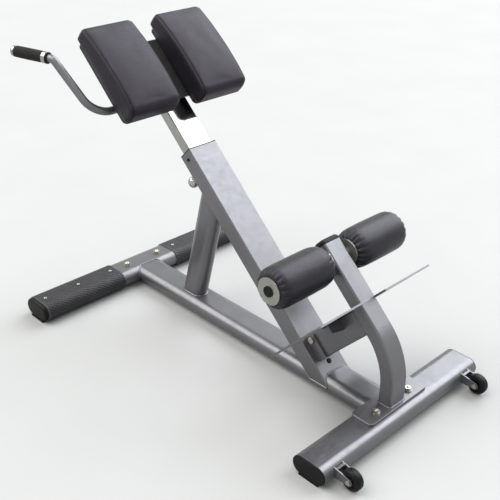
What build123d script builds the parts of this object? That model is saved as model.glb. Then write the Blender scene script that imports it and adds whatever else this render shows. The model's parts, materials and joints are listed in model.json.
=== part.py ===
from build123d import *
import os
from math import cos, radians, sin

os.makedirs("parts", exist_ok=True)

# Back-extension bench (roman chair). Millimetres, +Z up, +Y towards the pads and grips,
# X across the bench. The origin is on the floor, under the middle of the bench.
# "s" is a distance up the incline tube, "n" a height above its upper face.

# ---- driving dimensions: frame ------------------------------------------------------
tube_w = 100.0            # flat-oval base tubes and rectangular incline tube
tube_h = 50.0
wall = 3.0
floor_gap = 6.0           # underside of the base tubes above the floor
base_mid = floor_gap + tube_h / 2
base_top = floor_gap + tube_h
foot_y = -506.7           # centre line of the foot cross tube
head_y = foot_y + 1014.0  # centre line of the head cross tube
foot_half = 310.0
head_half = 388.0
bolt_r = 5.0
hole_gap = 0.3            # clearance round a bolt

incline_angle = 43.0
incline_y = foot_y + 191.0   # where the incline's upper face meets the top of the base
incline_top = 712.0

strut_w = 50.0
strut_d = 80.0
strut_y = foot_y + 749.0
strut_lean = 13.7

mount_t = 8.0             # plate under the upright
mount_w = 230.0
foot_bolt_x = 65.0
head_bolt_x = 60.0

upright_w = 60.0
upright_d = 40.0
upright_y = foot_y + 4.0
upright_n = 228.0
upright_top = 284.0
upright_bend = 190.0

# ---- driving dimensions: foot plate and rollers -------------------------------------
brace_w = 50.0
brace_low = 40.0
brace_foot = 6.0          # thickness of the bracket's base on the incline
ear_t = 6.0
brace_bolts_at = ((98.0, 20.0),)
plate_s = 110.5           # underside of the foot plate
plate_t = 5.0
plate_w = 440.0
plate_low = 72.0
plate_high = 288.0
rib_n = 143.0
rib_out = 66.0

roller_s = 245.0
roller_n = 226.0
roller_r = 54.0
roller_in = 45.0          # nearest and furthest ends of a roller from the middle
roller_out = 235.0
axle_r = 13.5
axle_bore = 10.5
washer_r = 35.0
washer_t = 3.0
core_r = 17.0
run_gap = 0.08            # radial clearance of a running fit

# ---- driving dimensions: height post, pads and handles ------------------------------
post_w = 84.0
post_h = 34.0
post_n = -25.0            # centre line of post, and of the handles welded to it
post_low = 430.0
post_high = 1040.0
slide_gap = 0.15
pin_s = 655.0
pin_r = 6.0
hole_r = 6.3
hole_pitch = 25.0
hole_count = 8

carriage_t = 6.0
carriage_s = (865.0, 1057.0)
carriage_half = 170.0
board_t = 18.0
pad_low = 822.0
pad_high = 1103.0
pad_top_low = 68.0       # heights of the cushion's top at both ends, and the crown between
pad_top_high = 61.0
pad_crown = (970.0, 77.0)
pad_in = 38.0
pad_out = 208.0
pad_mid = (pad_in + pad_out) / 2
pad_screw_s = (935.0, 1035.0)
pad_screw_x = (pad_mid - 45.0, pad_mid + 45.0)
pad_screw_r = 4.0

handle_s = 893.0          # cross run of the handles, and where they bend to the grips
handle_top = 1078.0
handle_r = 11.0
handle_bore = 9.0
grip_r = 15.5
grip_len = 112.0
collar_r = 16.3
collar_w = 12.0
cap_t = 12.0

# ---- driving dimensions: wheels, sleeves and caps -----------------------------------
wheel_x = 260.0
wheel_y = foot_y - 88.5
wheel_z = 30.0
wheel_r = 28.0
wheel_w = 24.0
wheel_pin_r = 4.0
fork_t = 3.0
fork_gap = 1.0

sleeve_t = 3.5
sleeve_in = 105.0
sleeve_screw_x = (128.0, 248.0, 366.0)
screw_r = 2.5
head_cap_t = 12.0
foot_cap_t = 3.0

# ---- frames of reference ------------------------------------------------------------
slope = radians(incline_angle)
along = Vector(0, cos(slope), sin(slope))
normal = Vector(0, -sin(slope), cos(slope))
incline = Plane(origin=(0, incline_y, base_top), x_dir=(1, 0, 0), z_dir=normal)
sides = {"left": -1, "right": 1}


def on_incline(x, s, n):
    """Point at x across the bench, s up the incline and n above its upper face."""
    return Vector(0, incline_y, base_top) + Vector(x, 0, 0) + along * s + normal * n


def across_incline(s, n):
    """Plane across the incline: x runs across the bench, y along the normal, facing down."""
    return Plane(origin=on_incline(0, s, n), x_dir=(1, 0, 0), z_dir=-along)


def side_of_incline(x):
    """Plane facing +X, turned with the incline: x is s and y is n."""
    return Plane(origin=on_incline(x, 0, 0), x_dir=along, z_dir=(1, 0, 0))


def across_bench(x, y, z):
    """Plane facing +X: its x runs along +Y and its y up."""
    return Plane(origin=(x, y, z), x_dir=(0, 1, 0), z_dir=(1, 0, 0))


def save(builder, name):
    """Label one finished piece and write it."""
    builder.part.label = name
    export_step(builder.part, f"parts/{name}.step")


# ---- base: two cross tubes and the main tube coped between them ---------------------
def cross_tube(name, y, half, bolt_x, screw_x):
    with BuildPart() as tube:
        with BuildSketch(across_bench(-half, y, base_mid)):
            SlotOverall(tube_w, tube_h)
            SlotOverall(tube_w - 2 * wall, tube_h - 2 * wall, mode=Mode.SUBTRACT)
        extrude(amount=2 * half)
        with Locations((-bolt_x, y, base_mid), (bolt_x, y, base_mid)):
            Cylinder(bolt_r + hole_gap, 2 * tube_h, mode=Mode.SUBTRACT)
        for x in screw_x:
            with Locations((-x, y, base_top), (x, y, base_top)):
                Cylinder(screw_r, tube_h / 2, mode=Mode.SUBTRACT)
    save(tube, name)


cross_tube("foot_base_tube", foot_y, foot_half, foot_bolt_x, ())
cross_tube("head_base_tube", head_y, head_half, head_bolt_x, sleeve_screw_x)

with BuildPart() as main_base_tube:
    with BuildSketch(Plane(origin=(0, foot_y, base_mid), x_dir=(1, 0, 0), z_dir=(0, 1, 0))):
        SlotOverall(tube_w, tube_h)
        SlotOverall(tube_w - 2 * wall, tube_h - 2 * wall, mode=Mode.SUBTRACT)
    extrude(amount=head_y - foot_y)
    for y in (foot_y, head_y):
        with BuildSketch(across_bench(-tube_w, y, base_mid)):
            SlotOverall(tube_w, tube_h)
        extrude(amount=2 * tube_w, mode=Mode.SUBTRACT)
save(main_base_tube, "main_base_tube")

# Flat plates welded under the main tube's ends, into which the joint bolts are tapped.
joint_plate_t = 5.0
joint_plate_d = 44.0
tongue_w = 46.0
tongue_len = 150.0
joint_plates = {
    "foot_joint_plate": (foot_y, 1, foot_bolt_x),
    "head_joint_plate": (head_y, -1, head_bolt_x),
}
for name, (y, inward, bolt_x) in joint_plates.items():
    with BuildPart() as plate:
        with BuildSketch(Plane.XY.offset(floor_gap - joint_plate_t)):
            with Locations((0, y)):
                Rectangle(2 * bolt_x + 36, joint_plate_d)
            with Locations((0, y + inward * tongue_len / 2)):
                Rectangle(tongue_w, tongue_len)
            with Locations((-bolt_x, y), (bolt_x, y)):
                Circle(bolt_r, mode=Mode.SUBTRACT)
        extrude(amount=joint_plate_t)
    save(plate, name)

# ---- joint bolts: hexagon head with a domed crown, on a washer ----------------------
washer_h = 2.0
head_h = 6.4
head_af = 17.0
dome_r = 6.6


def joint_bolts(name, y, bolt_x, seat):
    with BuildPart() as bolts:
        with BuildSketch(Plane.XY.offset(seat + washer_h)):
            with Locations((-bolt_x, y), (bolt_x, y)):
                RegularPolygon(head_af / 2, 6, major_radius=False)
        extrude(amount=head_h)
        chamfer(bolts.faces().sort_by(Axis.Z)[-2:].edges(), length=0.8)
        dome = seat + washer_h + head_h - 1
        with Locations((-bolt_x, y, dome), (bolt_x, y, dome)):
            Sphere(dome_r, arc_size1=0)
        with BuildSketch(Plane.XY.offset(floor_gap - joint_plate_t)):
            with Locations((-bolt_x, y), (bolt_x, y)):
                Circle(bolt_r)
        extrude(amount=seat + washer_h - floor_gap + joint_plate_t)
    save(bolts, name)


joint_bolts("foot_joint_bolts", foot_y, foot_bolt_x, base_top + mount_t)
joint_bolts("head_joint_bolts", head_y, head_bolt_x, base_top)

with BuildPart() as joint_washers:
    for y, bolt_x, seat in ((foot_y, foot_bolt_x, base_top + mount_t), (head_y, head_bolt_x, base_top)):
        with BuildSketch(Plane.XY.offset(seat)):
            with Locations((-bolt_x, y), (bolt_x, y)):
                Circle(head_af * 0.65)
                Circle(bolt_r + hole_gap, mode=Mode.SUBTRACT)
        extrude(amount=washer_h)
save(joint_washers, "joint_washers")

# ---- head tube: tread sleeves and their screws --------------------------------------
for side, sx in sides.items():
    inner = min(sx * sleeve_in, sx * head_half)
    with BuildPart() as sleeve:
        with BuildSketch(across_bench(inner, head_y, base_mid)):
            SlotOverall(tube_w + 2 * sleeve_t, tube_h + 2 * sleeve_t)
            SlotOverall(tube_w, tube_h, mode=Mode.SUBTRACT)
        extrude(amount=head_half - sleeve_in)
        for x in sleeve_screw_x:
            with Locations((sx * x, head_y, base_top)):
                Cylinder(screw_r, tube_h / 2, mode=Mode.SUBTRACT)
    save(sleeve, f"tread_sleeve_{side}")

with BuildPart() as sleeve_screws:
    screw_spots = [(sx * x, head_y) for sx in sides.values() for x in sleeve_screw_x]
    with BuildSketch(Plane.XY.offset(base_top - 8)):
        with Locations(*screw_spots):
            Circle(screw_r)
    extrude(amount=8 + sleeve_t)
    with BuildSketch(Plane.XY.offset(base_top + sleeve_t)):
        with Locations(*screw_spots):
            Circle(2 * screw_r)
    extrude(amount=screw_r)
    fillet(sleeve_screws.faces().sort_by(Axis.Z)[-6:].edges(), radius=1.6)
save(sleeve_screws, "sleeve_screws")

# ---- end caps: a plug in the tube, a flange over its end and a foot on the floor ----
plug_len = 16.0
plug_gap = 0.2


def end_cap(name, sx, y, half, flange_t, flange_over, foot_len):
    with BuildPart() as cap:
        with BuildSketch(Plane(origin=(sx * half, y, base_mid), x_dir=(0, 1, 0), z_dir=(sx, 0, 0))):
            SlotOverall(tube_w + 2 * flange_over, tube_h + 2 * flange_over)
        extrude(amount=flange_t)
        fillet(cap.faces().sort_by(Axis.X)[-1 if sx > 0 else 0].edges(), radius=flange_t * 0.6)
        with BuildSketch(Plane(origin=(sx * half, y, base_mid), x_dir=(0, 1, 0), z_dir=(-sx, 0, 0))):
            SlotOverall(tube_w - 2 * wall - plug_gap, tube_h - 2 * wall - plug_gap)
            SlotOverall(tube_w - 5 * wall, tube_h - 5 * wall, mode=Mode.SUBTRACT)
        extrude(amount=plug_len)
        with Locations((sx * (half + flange_t / 2 - foot_len / 2 + 0.5), y, floor_gap / 2)):
            Box(foot_len + flange_t - 1, tube_h + 10, floor_gap)
    save(cap, name)


for side, sx in sides.items():
    end_cap(f"foot_tube_cap_{side}", sx, foot_y, foot_half, foot_cap_t, 0.0, 36.0)
    end_cap(f"head_tube_cap_{side}", sx, head_y, head_half, head_cap_t, 1.5, 0.0)

# ---- transport wheels on forks at the foot tube -------------------------------------
fork_in = wheel_w / 2 + fork_gap
with BuildPart() as wheel_forks:
    for sx in sides.values():
        for cheek in (-fork_in - fork_t, fork_in):
            with BuildSketch(across_bench(sx * wheel_x + cheek, 0, 0)):
                Polygon(
                    (foot_y - 30, 20), (foot_y - 30, 50), (wheel_y, wheel_z + 10), (wheel_y, wheel_z - 10),
                    align=None,
                )
                with Locations((wheel_y, wheel_z)):
                    Circle(10)
                    Circle(wheel_pin_r, mode=Mode.SUBTRACT)
            extrude(amount=fork_t)
        with BuildSketch(across_bench(sx * wheel_x - fork_in, 0, 0)):
            with Locations((foot_y - 52, base_mid + 3)):
                Rectangle(7, 26)
        extrude(amount=2 * fork_in)
    with BuildSketch(across_bench(-foot_half, foot_y, base_mid)):
        SlotOverall(tube_w, tube_h)
    extrude(amount=2 * foot_half, mode=Mode.SUBTRACT)
save(wheel_forks, "wheel_forks")

with BuildPart() as wheel_pins:
    for sx in sides.values():
        ends = ((-fork_in - fork_t - 3, 3, 6.5), (-fork_in - fork_t, 2 * (fork_in + fork_t), wheel_pin_r),
                (fork_in + fork_t, 3, 6.5))
        for start, length, radius in ends:
            with BuildSketch(across_bench(sx * wheel_x + start, wheel_y, wheel_z)):
                Circle(radius)
            extrude(amount=length)
save(wheel_pins, "wheel_pins")

for side, sx in sides.items():
    with BuildPart() as wheel:
        with BuildSketch(across_bench(sx * wheel_x - wheel_w / 2, wheel_y, wheel_z)):
            Circle(wheel_r)
        extrude(amount=wheel_w)
        fillet(wheel.edges().filter_by(GeomType.CIRCLE), radius=8)
        for face_x, facing in ((-wheel_w / 2, 1), (wheel_w / 2, -1)):
            plane = Plane(origin=(sx * wheel_x + face_x, wheel_y, wheel_z), x_dir=(0, 1, 0),
                          z_dir=(facing, 0, 0))
            with BuildSketch(plane):
                Circle(wheel_r * 0.58)
                Circle(wheel_pin_r * 2, mode=Mode.SUBTRACT)
            extrude(amount=3, mode=Mode.SUBTRACT)
        with BuildSketch(across_bench(sx * wheel_x - wheel_w, wheel_y, wheel_z)):
            Circle(wheel_pin_r + run_gap)
        extrude(amount=2 * wheel_w, mode=Mode.SUBTRACT)
    save(wheel, f"wheel_{side}")

# ---- incline tube, coped onto the main base tube ------------------------------------
tube_corner = 4.0
incline_foot = -45.0
plug_hole_s = 28.0
plug_hole_r = 5.5
with BuildPart() as incline_tube:
    with BuildSketch(across_incline(incline_top, -tube_h / 2)):
        RectangleRounded(tube_w, tube_h, tube_corner)
        RectangleRounded(tube_w - 2 * wall, tube_h - 2 * wall, tube_corner - wall + 0.5, mode=Mode.SUBTRACT)
    extrude(amount=incline_top - incline_foot)
    with BuildSketch(Plane(origin=(0, incline_y - 200, base_mid), x_dir=(1, 0, 0), z_dir=(0, 1, 0))):
        SlotOverall(tube_w, tube_h)
        with Locations((0, tube_w)):
            Rectangle(2 * tube_w, 2 * tube_w)
    extrude(amount=400, mode=Mode.SUBTRACT)
    with BuildSketch(incline.offset(-tube_h - 5)):
        with Locations((0, pin_s)):
            Circle(hole_r)
    extrude(amount=10, mode=Mode.SUBTRACT)
    with BuildSketch(incline.offset(-wall - 2)):
        with Locations((0, plug_hole_s)):
            Circle(plug_hole_r)
    extrude(amount=10, mode=Mode.SUBTRACT)
save(incline_tube, "incline_tube")

with BuildPart() as incline_plug:
    with BuildSketch(incline.offset(-wall)):
        with Locations((0, plug_hole_s)):
            Circle(plug_hole_r)
    extrude(amount=wall)
    with BuildSketch(incline):
        with Locations((0, plug_hole_s)):
            Circle(plug_hole_r + 1.5)
    extrude(amount=3)
    fillet(incline_plug.faces().sort_by(Axis((0, 0, 0), normal))[-1].edges(), radius=2)
save(incline_plug, "incline_hole_plug")

# ---- strut from the base to the underside of the incline ----------------------------
lean = radians(strut_lean)
strut_axis = Vector(0, -sin(lean), cos(lean))
strut_start = Vector(0, strut_y, base_top) - strut_axis * 60
with BuildPart() as rear_strut:
    with BuildSketch(Plane(origin=strut_start, x_dir=(0, 1, 0), z_dir=strut_axis)):
        SlotOverall(strut_d, strut_w)
        SlotOverall(strut_d - 2 * wall, strut_w - 2 * wall, mode=Mode.SUBTRACT)
    extrude(amount=560)
    with BuildSketch(Plane(origin=(0, strut_y - 150, base_mid), x_dir=(1, 0, 0), z_dir=(0, 1, 0))):
        SlotOverall(tube_w, tube_h)
        with Locations((0, tube_w)):
            Rectangle(2 * tube_w, 2 * tube_w)
    extrude(amount=300, mode=Mode.SUBTRACT)
    with BuildSketch(incline.offset(-tube_h)):
        with Locations((0, 600)):
            Rectangle(2 * tube_w, 600)
    extrude(amount=400, mode=Mode.SUBTRACT)
save(rear_strut, "rear_strut")

# ---- upright: mount plate, bent tube and end plug -----------------------------------
mount_y = (foot_y - 25.0, foot_y + 42.0)
with BuildPart() as upright_mount_plate:
    with Locations((0, sum(mount_y) / 2, base_top + mount_t / 2)):
        Box(mount_w, mount_y[1] - mount_y[0], mount_t)
    fillet(upright_mount_plate.edges().filter_by(Axis.Z), radius=12)
    chamfer(upright_mount_plate.faces().sort_by(Axis.Z)[-1].edges(), length=1.0)
    with Locations((-foot_bolt_x, foot_y, base_top), (foot_bolt_x, foot_y, base_top)):
        Cylinder(bolt_r + hole_gap, 4 * mount_t, mode=Mode.SUBTRACT)
save(upright_mount_plate, "upright_mount_plate")

upright_foot = Vector(0, upright_y, base_top + mount_t)
bend_z = base_top + (upright_n + sin(slope) * (upright_y - incline_y)) / cos(slope)
upright_knee = Vector(0, upright_y, bend_z)
upright_end = on_incline(0, upright_top, upright_n)
with BuildLine() as upright_path:
    FilletPolyline(upright_foot, upright_knee, upright_end, radius=upright_bend)
upright_corner = 6.0
with BuildPart() as upright_tube:
    with BuildSketch(Plane(origin=upright_foot, x_dir=(1, 0, 0), z_dir=(0, 0, 1))):
        RectangleRounded(upright_w, upright_d, upright_corner)
        RectangleRounded(upright_w - 2 * wall, upright_d - 2 * wall, upright_corner - wall, mode=Mode.SUBTRACT)
    sweep(path=upright_path.wire())
    with BuildSketch(side_of_incline(-upright_w)):
        with Locations((roller_s, roller_n)):
            Circle(axle_r)
    extrude(amount=2 * upright_w, mode=Mode.SUBTRACT)
save(upright_tube, "upright_tube")

with BuildPart() as upright_end_plug:
    with BuildSketch(across_incline(upright_top, upright_n)):
        RectangleRounded(upright_w, upright_d, upright_corner)
    extrude(amount=-14)
    top_edges = upright_end_plug.faces().sort_by(Axis((0, 0, 0), along))[-1].edges()
    fillet(top_edges, radius=10)
    with BuildSketch(across_incline(upright_top, upright_n)):
        RectangleRounded(upright_w - 2 * wall - plug_gap, upright_d - 2 * wall - plug_gap, upright_corner - wall)
    extrude(amount=14)
save(upright_end_plug, "upright_end_plug")

# ---- brace from the incline to the upright, in a bolted bracket ---------------------
brace_high = upright_n - upright_d / 2
brace_mid = (brace_low + plate_s) / 2
brace_len = plate_s - brace_low

with BuildPart() as brace_tube:
    with BuildSketch(incline.offset(brace_foot)):
        with Locations((0, brace_mid)):
            RectangleRounded(brace_w, brace_len, tube_corner)
            RectangleRounded(brace_w - 2 * wall, brace_len - 2 * wall, 1.5, mode=Mode.SUBTRACT)
    extrude(amount=brace_high - brace_foot)
    with BuildSketch(side_of_incline(-brace_w)):
        with Locations(*brace_bolts_at):
            Circle(bolt_r + hole_gap)
    extrude(amount=2 * brace_w, mode=Mode.SUBTRACT)
save(brace_tube, "brace_tube")

ear_in = brace_w / 2 + hole_gap
ear_out = ear_in + ear_t
with BuildPart() as brace_bracket:
    with BuildSketch(incline):
        with Locations((0, brace_mid)):
            Rectangle(2 * ear_out, brace_len)
    extrude(amount=brace_foot)
    for sx in sides.values():
        with BuildSketch(incline):
            with Locations((sx * (ear_in + ear_t / 2), brace_mid)):
                Rectangle(ear_t, brace_len)
        extrude(amount=34)
    with BuildSketch(side_of_incline(-brace_w)):
        with Locations(*brace_bolts_at):
            Circle(bolt_r + hole_gap)
    extrude(amount=2 * brace_w, mode=Mode.SUBTRACT)
save(brace_bracket, "brace_bracket")

with BuildPart() as brace_bolts:
    with BuildSketch(side_of_incline(-ear_out - head_h)):
        with Locations(*brace_bolts_at):
            RegularPolygon(head_af / 2, 6, major_radius=False)
    extrude(amount=head_h)
    with BuildSketch(side_of_incline(-ear_out)):
        with Locations(*brace_bolts_at):
            Circle(bolt_r)
    extrude(amount=2 * ear_out + head_h + 4)
save(brace_bolts, "brace_bolts")

with BuildPart() as brace_nuts:
    with BuildSketch(side_of_incline(ear_out)):
        with Locations(*brace_bolts_at):
            RegularPolygon(head_af / 2, 6, major_radius=False)
            Circle(bolt_r, mode=Mode.SUBTRACT)
    extrude(amount=head_h + 2)
save(brace_nuts, "brace_nuts")

# ---- foot plate, slotted round the upright, on two ribs -----------------------------
slot_gap = 0.4
with BuildPart() as foot_plate:
    with BuildSketch(across_incline(plate_s + plate_t, 0)) as outline:
        with Locations((0, (plate_low + plate_high) / 2)):
            Rectangle(plate_w, plate_high - plate_low)
        fillet(outline.vertices(), radius=14)
        with Locations((0, (brace_high + plate_high) / 2)):
            Rectangle(upright_w + 2 * slot_gap, plate_high - brace_high + 2 * slot_gap, mode=Mode.SUBTRACT)
    extrude(amount=plate_t)
save(foot_plate, "foot_plate")

rib_t = 5.0
for side, sx in sides.items():
    with BuildPart() as rib:
        with BuildSketch(incline.offset(rib_n - rib_t / 2)):
            Polygon(
                (sx * brace_w / 2, plate_s), (sx * rib_out, plate_s), (sx * rib_out, plate_s - 24),
                (sx * brace_w / 2, plate_s - 31), align=None,
            )
        extrude(amount=rib_t)
    save(rib, f"plate_rib_{side}")

# ---- ankle rollers on a fixed axle --------------------------------------------------
axle_end = roller_out + 0.5 + washer_t


def on_axle(x):
    """Plane facing +X with its origin on the roller axle."""
    return Plane(origin=on_incline(x, roller_s, roller_n), x_dir=along, z_dir=(1, 0, 0))


with BuildPart() as roller_axle:
    with BuildSketch(on_axle(-axle_end)):
        Circle(axle_r)
        Circle(axle_bore, mode=Mode.SUBTRACT)
    extrude(amount=2 * axle_end)
save(roller_axle, "roller_axle")

with BuildPart() as roller_washers:
    washer_starts = (-axle_end, -roller_in + 0.5, roller_in - 0.5 - washer_t, axle_end - washer_t)
    for x in washer_starts:
        with BuildSketch(on_axle(x)):
            Circle(washer_r)
            Circle(axle_r, mode=Mode.SUBTRACT)
        extrude(amount=washer_t)
save(roller_washers, "roller_washers")

with BuildPart() as axle_end_plugs:
    for sx in sides.values():
        for start, length, radius in ((axle_end, 3, axle_r + 0.5), (axle_end - 20, 20, axle_bore)):
            with BuildSketch(on_axle(min(sx * start, sx * (start + length)))):
                Circle(radius)
            extrude(amount=length)
save(axle_end_plugs, "axle_end_plugs")

for side, sx in sides.items():
    start = min(sx * roller_in, sx * roller_out)
    with BuildPart() as core:
        with BuildSketch(on_axle(start)):
            Circle(core_r)
            Circle(axle_r + run_gap, mode=Mode.SUBTRACT)
        extrude(amount=roller_out - roller_in)
    save(core, f"roller_core_{side}")
    with BuildPart() as roller:
        with BuildSketch(on_axle(start + 1)):
            Circle(roller_r)
        extrude(amount=roller_out - roller_in - 2)
        fillet(roller.edges().filter_by(GeomType.CIRCLE), radius=14)
        with BuildSketch(on_axle(start)):
            Circle(core_r)
        extrude(amount=roller_out - roller_in, mode=Mode.SUBTRACT)
    save(roller, f"ankle_roller_{side}")

# ---- top bushing and the pull pin's sleeve ------------------------------------------
bushing_len = 42.0
bushing_flange = 2.5
inner_w = tube_w - 2 * wall
inner_h = tube_h - 2 * wall
bush_screw_s = 692.0
with BuildPart() as post_bushing:
    with BuildSketch(across_incline(incline_top + bushing_flange, post_n)):
        RectangleRounded(tube_w, tube_h, tube_corner)
    extrude(amount=bushing_flange)
    with BuildSketch(across_incline(incline_top, post_n)):
        RectangleRounded(inner_w, inner_h, tube_corner - wall + 0.5)
    extrude(amount=bushing_len)
    with BuildSketch(across_incline(incline_top + bushing_flange, post_n)):
        RectangleRounded(post_w + 2 * slide_gap, post_h + 2 * slide_gap, 3.2)
    extrude(amount=bushing_len + bushing_flange, mode=Mode.SUBTRACT)
save(post_bushing, "post_bushing")

with BuildPart() as bushing_screws:
    for sx in sides.values():
        with BuildSketch(side_of_incline(min(sx * tube_w / 2, sx * (tube_w / 2 + 2)))):
            with Locations((bush_screw_s, post_n)):
                Circle(4.5)
        extrude(amount=2)
save(bushing_screws, "bushing_screws")

sleeve_r = 12.0
spring_bore = 9.5
sleeve_len = 34.0
lip = 4.0
with BuildPart() as pull_pin_sleeve:
    with BuildSketch(incline.offset(-tube_h - sleeve_len)):
        with Locations((0, pin_s)):
            Circle(sleeve_r)
            Circle(pin_r + run_gap, mode=Mode.SUBTRACT)
    extrude(amount=lip)
    with BuildSketch(incline.offset(-tube_h - sleeve_len + lip)):
        with Locations((0, pin_s)):
            Circle(sleeve_r)
            Circle(spring_bore, mode=Mode.SUBTRACT)
    extrude(amount=sleeve_len - lip)
save(pull_pin_sleeve, "pull_pin_sleeve")

# The plunger's tip stands just clear of the post's underside; a spring bears on its shoulder.
tip_n = post_n - post_h / 2 - 0.4
shoulder_n = -tube_h - 8.0
knob_n = -tube_h - 68.0
knob_r = 17.0
with BuildPart() as pull_pin:
    with BuildSketch(incline.offset(knob_n)):
        with Locations((0, pin_s)):
            Circle(pin_r)
    extrude(amount=tip_n - knob_n)
    with BuildSketch(incline.offset(shoulder_n)):
        with Locations((0, pin_s)):
            Circle(spring_bore - 0.3)
    extrude(amount=3)
save(pull_pin, "pull_pin")

with BuildPart() as pull_knob:
    with Locations(Location(on_incline(0, pin_s, knob_n))):
        Sphere(knob_r)
    with BuildSketch(incline.offset(knob_n)):
        with Locations((0, pin_s)):
            Circle(11)
    extrude(amount=22)
    with BuildSketch(incline.offset(knob_n)):
        with Locations((0, pin_s)):
            Circle(pin_r)
    extrude(amount=40, mode=Mode.SUBTRACT)
save(pull_knob, "pull_knob")

# ---- height post with its row of pin holes ------------------------------------------
first_hole = pin_s - hole_pitch * (hole_count // 2)
with BuildPart() as height_post:
    with BuildSketch(across_incline(post_high, post_n)):
        RectangleRounded(post_w, post_h, 3)
        RectangleRounded(post_w - 2 * wall, post_h - 2 * wall, 1, mode=Mode.SUBTRACT)
    extrude(amount=post_high - post_low)
    with BuildSketch(incline.offset(post_n - post_h)):
        with Locations(*[(0, first_hole + hole_pitch * k) for k in range(hole_count)]):
            Circle(hole_r)
    extrude(amount=post_h, mode=Mode.SUBTRACT)
save(height_post, "height_post")

glide_gap = 0.6
for name, s, out_w, out_h, out_t in (
    ("post_foot_glide", post_low, inner_w - glide_gap, inner_h - glide_gap, 12.0),
    ("post_top_plug", post_high, post_w, post_h - 1, -4.0),
):
    with BuildPart() as plug:
        with BuildSketch(across_incline(s, post_n)):
            RectangleRounded(out_w, out_h, 2)
        extrude(amount=out_t)
        with BuildSketch(across_incline(s, post_n)):
            RectangleRounded(post_w - 2 * wall - plug_gap, post_h - 2 * wall - plug_gap, 1)
        extrude(amount=-20 if out_t > 0 else 20)
    save(plug, name)

# ---- pad carriage: steel plate, plywood boards, cushions and screws -----------------
plate_n = post_n + post_h / 2
board_n = plate_n + carriage_t
cushion_n = board_n + board_t
carriage_mid = sum(carriage_s) / 2
screw_spots = [(sx * x, s) for sx in sides.values() for x in pad_screw_x for s in pad_screw_s]
with BuildPart() as pad_mount_plate:
    with BuildSketch(incline.offset(plate_n)) as outline:
        with Locations((0, carriage_mid)):
            RectangleRounded(2 * carriage_half, carriage_s[1] - carriage_s[0], 12)
        with Locations(*screw_spots):
            Circle(pad_screw_r + hole_gap, mode=Mode.SUBTRACT)
    extrude(amount=carriage_t)
save(pad_mount_plate, "pad_mount_plate")

board_inset = 12.0
pad_edge_radii = (
    ((pad_low, pad_top_low), 26),
    ((pad_low, cushion_n), 9),
    ((pad_high, cushion_n), 9),
    ((pad_high, pad_top_high), 9),
)
for side, sx in sides.items():
    with BuildPart() as board:
        with BuildSketch(incline.offset(board_n)):
            with Locations((sx * pad_mid, (pad_low + pad_high) / 2)):
                RectangleRounded(pad_out - pad_in - 2 * board_inset, pad_high - pad_low - 2 * board_inset, 14)
            with Locations(*[(x, s) for x, s in screw_spots if x * sx > 0]):
                Circle(pad_screw_r, mode=Mode.SUBTRACT)
        extrude(amount=board_t)
    save(board, f"pad_board_{side}")
    with BuildPart() as pad:
        with BuildSketch(side_of_incline(min(sx * pad_in, sx * pad_out))):
            with BuildLine():
                Polyline((pad_low, pad_top_low), (pad_low, cushion_n), (pad_high, cushion_n), (pad_high, pad_top_high))
                ThreePointArc((pad_high, pad_top_high), pad_crown, (pad_low, pad_top_low))
            make_face()
        extrude(amount=pad_out - pad_in)
        for (s, n), radius in pad_edge_radii:
            corner = on_incline(sx * pad_mid, s, n)
            fillet(pad.edges().filter_by(Axis.X).sort_by_distance(corner)[0], radius=radius)
        fillet(pad.faces().sort_by(Axis.X)[0].edges(), radius=10)
        fillet(pad.faces().sort_by(Axis.X)[-1].edges(), radius=10)
    save(pad, f"thigh_pad_{side}")

with BuildPart() as pad_screws:
    with BuildSketch(incline.offset(plate_n - 5)):
        with Locations(*screw_spots):
            RegularPolygon(6.5, 6, major_radius=False)
    extrude(amount=5)
    with BuildSketch(incline.offset(plate_n)):
        with Locations(*screw_spots):
            Circle(pad_screw_r)
    extrude(amount=carriage_t + board_t - 1)
save(pad_screws, "pad_screws")

# ---- handles: bent tubes welded to the post's sides, with grips ---------------------
collars = []
caps = []
for side, sx in sides.items():
    elbow = on_incline(sx * 246, handle_s, post_n)
    rise = on_incline(sx * 272.7, handle_top, post_n)
    pull = Vector(sx * 0.30, 0.95, 0.02).normalized()
    tip = rise + pull * (grip_len + 13)
    with BuildLine() as route:
        FilletPolyline(on_incline(sx * post_w / 2, handle_s, post_n), elbow, rise, tip, radius=[62, 28])
    with BuildPart() as handle:
        with BuildSketch(Plane(origin=on_incline(sx * post_w / 2, handle_s, post_n), z_dir=(sx, 0, 0))):
            Circle(handle_r)
            Circle(handle_bore, mode=Mode.SUBTRACT)
        sweep(path=route.wire())
    save(handle, f"handle_tube_{side}")
    grip_start = Plane(origin=tip - pull * grip_len, z_dir=pull)
    with BuildPart() as grip:
        with BuildSketch(grip_start):
            Circle(grip_r)
        extrude(amount=grip_len)
        with BuildSketch(grip_start.offset(5)):
            Circle(grip_r)
            Circle(grip_r - 1.3, mode=Mode.SUBTRACT)
        extrude(amount=collar_w, mode=Mode.SUBTRACT)
        with BuildSketch(grip_start):
            Circle(handle_r)
        extrude(amount=grip_len, mode=Mode.SUBTRACT)
    save(grip, f"grip_{side}")
    collars.append(grip_start.offset(5))
    caps.append(grip_start.offset(grip_len))

with BuildPart() as grip_collars:
    for plane in collars:
        with BuildSketch(plane):
            Circle(collar_r)
            Circle(grip_r - 1.3, mode=Mode.SUBTRACT)
        extrude(amount=collar_w)
save(grip_collars, "grip_collars")

with BuildPart() as grip_end_caps:
    for plane in caps:
        with BuildSketch(plane):
            Circle(grip_r)
        extrude(amount=cap_t)
        fillet(grip_end_caps.edges().filter_by(GeomType.CIRCLE).sort_by(Axis.Y)[-1], radius=7)
save(grip_end_caps, "grip_end_caps")
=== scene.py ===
import json
import math

import bmesh
import bpy
import numpy as np
from mathutils import Matrix, Vector, noise
from mathutils.bvhtree import BVHTree


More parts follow.
